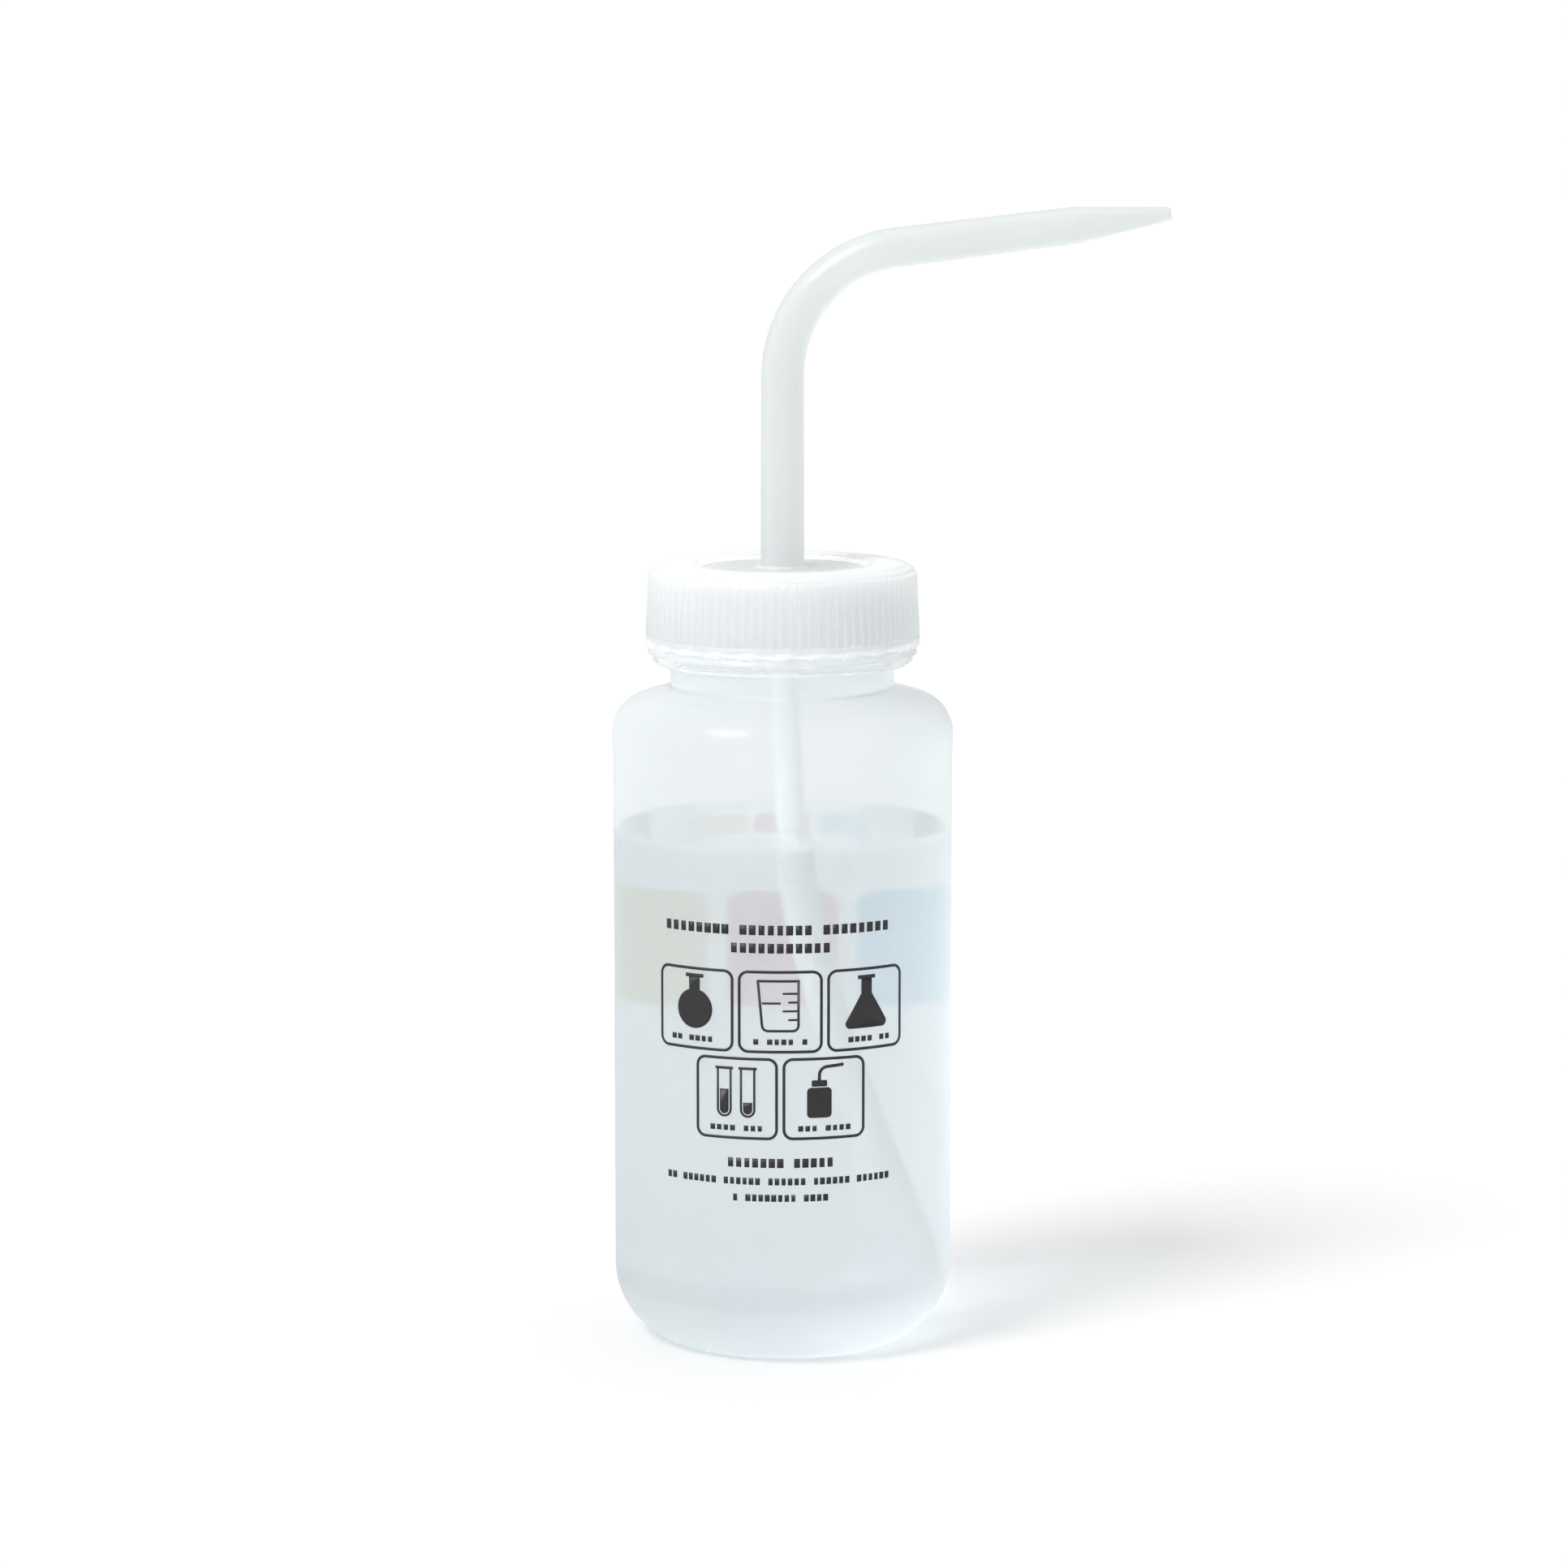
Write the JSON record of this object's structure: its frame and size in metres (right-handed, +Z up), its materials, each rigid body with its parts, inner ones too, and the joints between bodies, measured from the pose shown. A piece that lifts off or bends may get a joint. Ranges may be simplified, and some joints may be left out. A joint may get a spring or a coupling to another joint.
{
  "type": "laboratory wash bottle",
  "caption": "Squeezable translucent wash bottle with a ribbed screw cap, a bent jet spout, a dip tube, a tamper ring and printed icon panels.",
  "frame": {"origin": "centre of the plane that the bottle's standing ring rests on", "axes": "+Z up along the bottle's axis, +X towards the spout's jet, -Y towards the printed front"},
  "size_m": [0.121, 0.0744, 0.2476],
  "materials": {
    "bottle_ldpe": "translucent blow-moulded polyethylene, satin",
    "ring_plastic": "natural moulded plastic, glossy and translucent",
    "cap_plastic": "natural moulded plastic, semi-gloss and translucent",
    "gasket_foam": "white closed-cell foam",
    "spout_ldpe": "drawn and formed polyethylene tube, satin",
    "dip_tube_ldpe": "extruded polyethylene tube, satin"
  },
  "bodies": {
    "bottle": {"bottle": "bottle_ldpe"},
    "tamper_ring": {"tamper_ring": "ring_plastic"},
    "gasket": {"gasket": "gasket_foam"},
    "cap": {"cap": "cap_plastic"},
    "spout": {"spout": "spout_ldpe", "dip_tube": "dip_tube_ldpe"}
  },
  "joints": [
    {"name": "ring_spin", "type": "hinge", "parent": "bottle", "child": "tamper_ring", "pos_m": [0, 0, 0.15], "axis": [0, 0, 1], "continuous": true},
    {"name": "cap_lift", "type": "slide", "parent": "bottle", "child": "gasket", "axis": [0, 0, 1], "range_m": [0, 0.0064]},
    {"name": "cap_turn", "type": "hinge", "parent": "gasket", "child": "cap", "pos_m": [0, 0, 0.16], "axis": [0, 0, 1], "range_deg": [0, 540]},
    {"name": "spout_swivel", "type": "hinge", "parent": "cap", "child": "spout", "pos_m": [0, 0, 0.168], "axis": [0, 0, 1], "continuous": true}
  ],
  "couplings": [
    {"joint": "cap_lift", "follows": "cap_turn", "m_per_rad": 0.00067375}
  ]
}
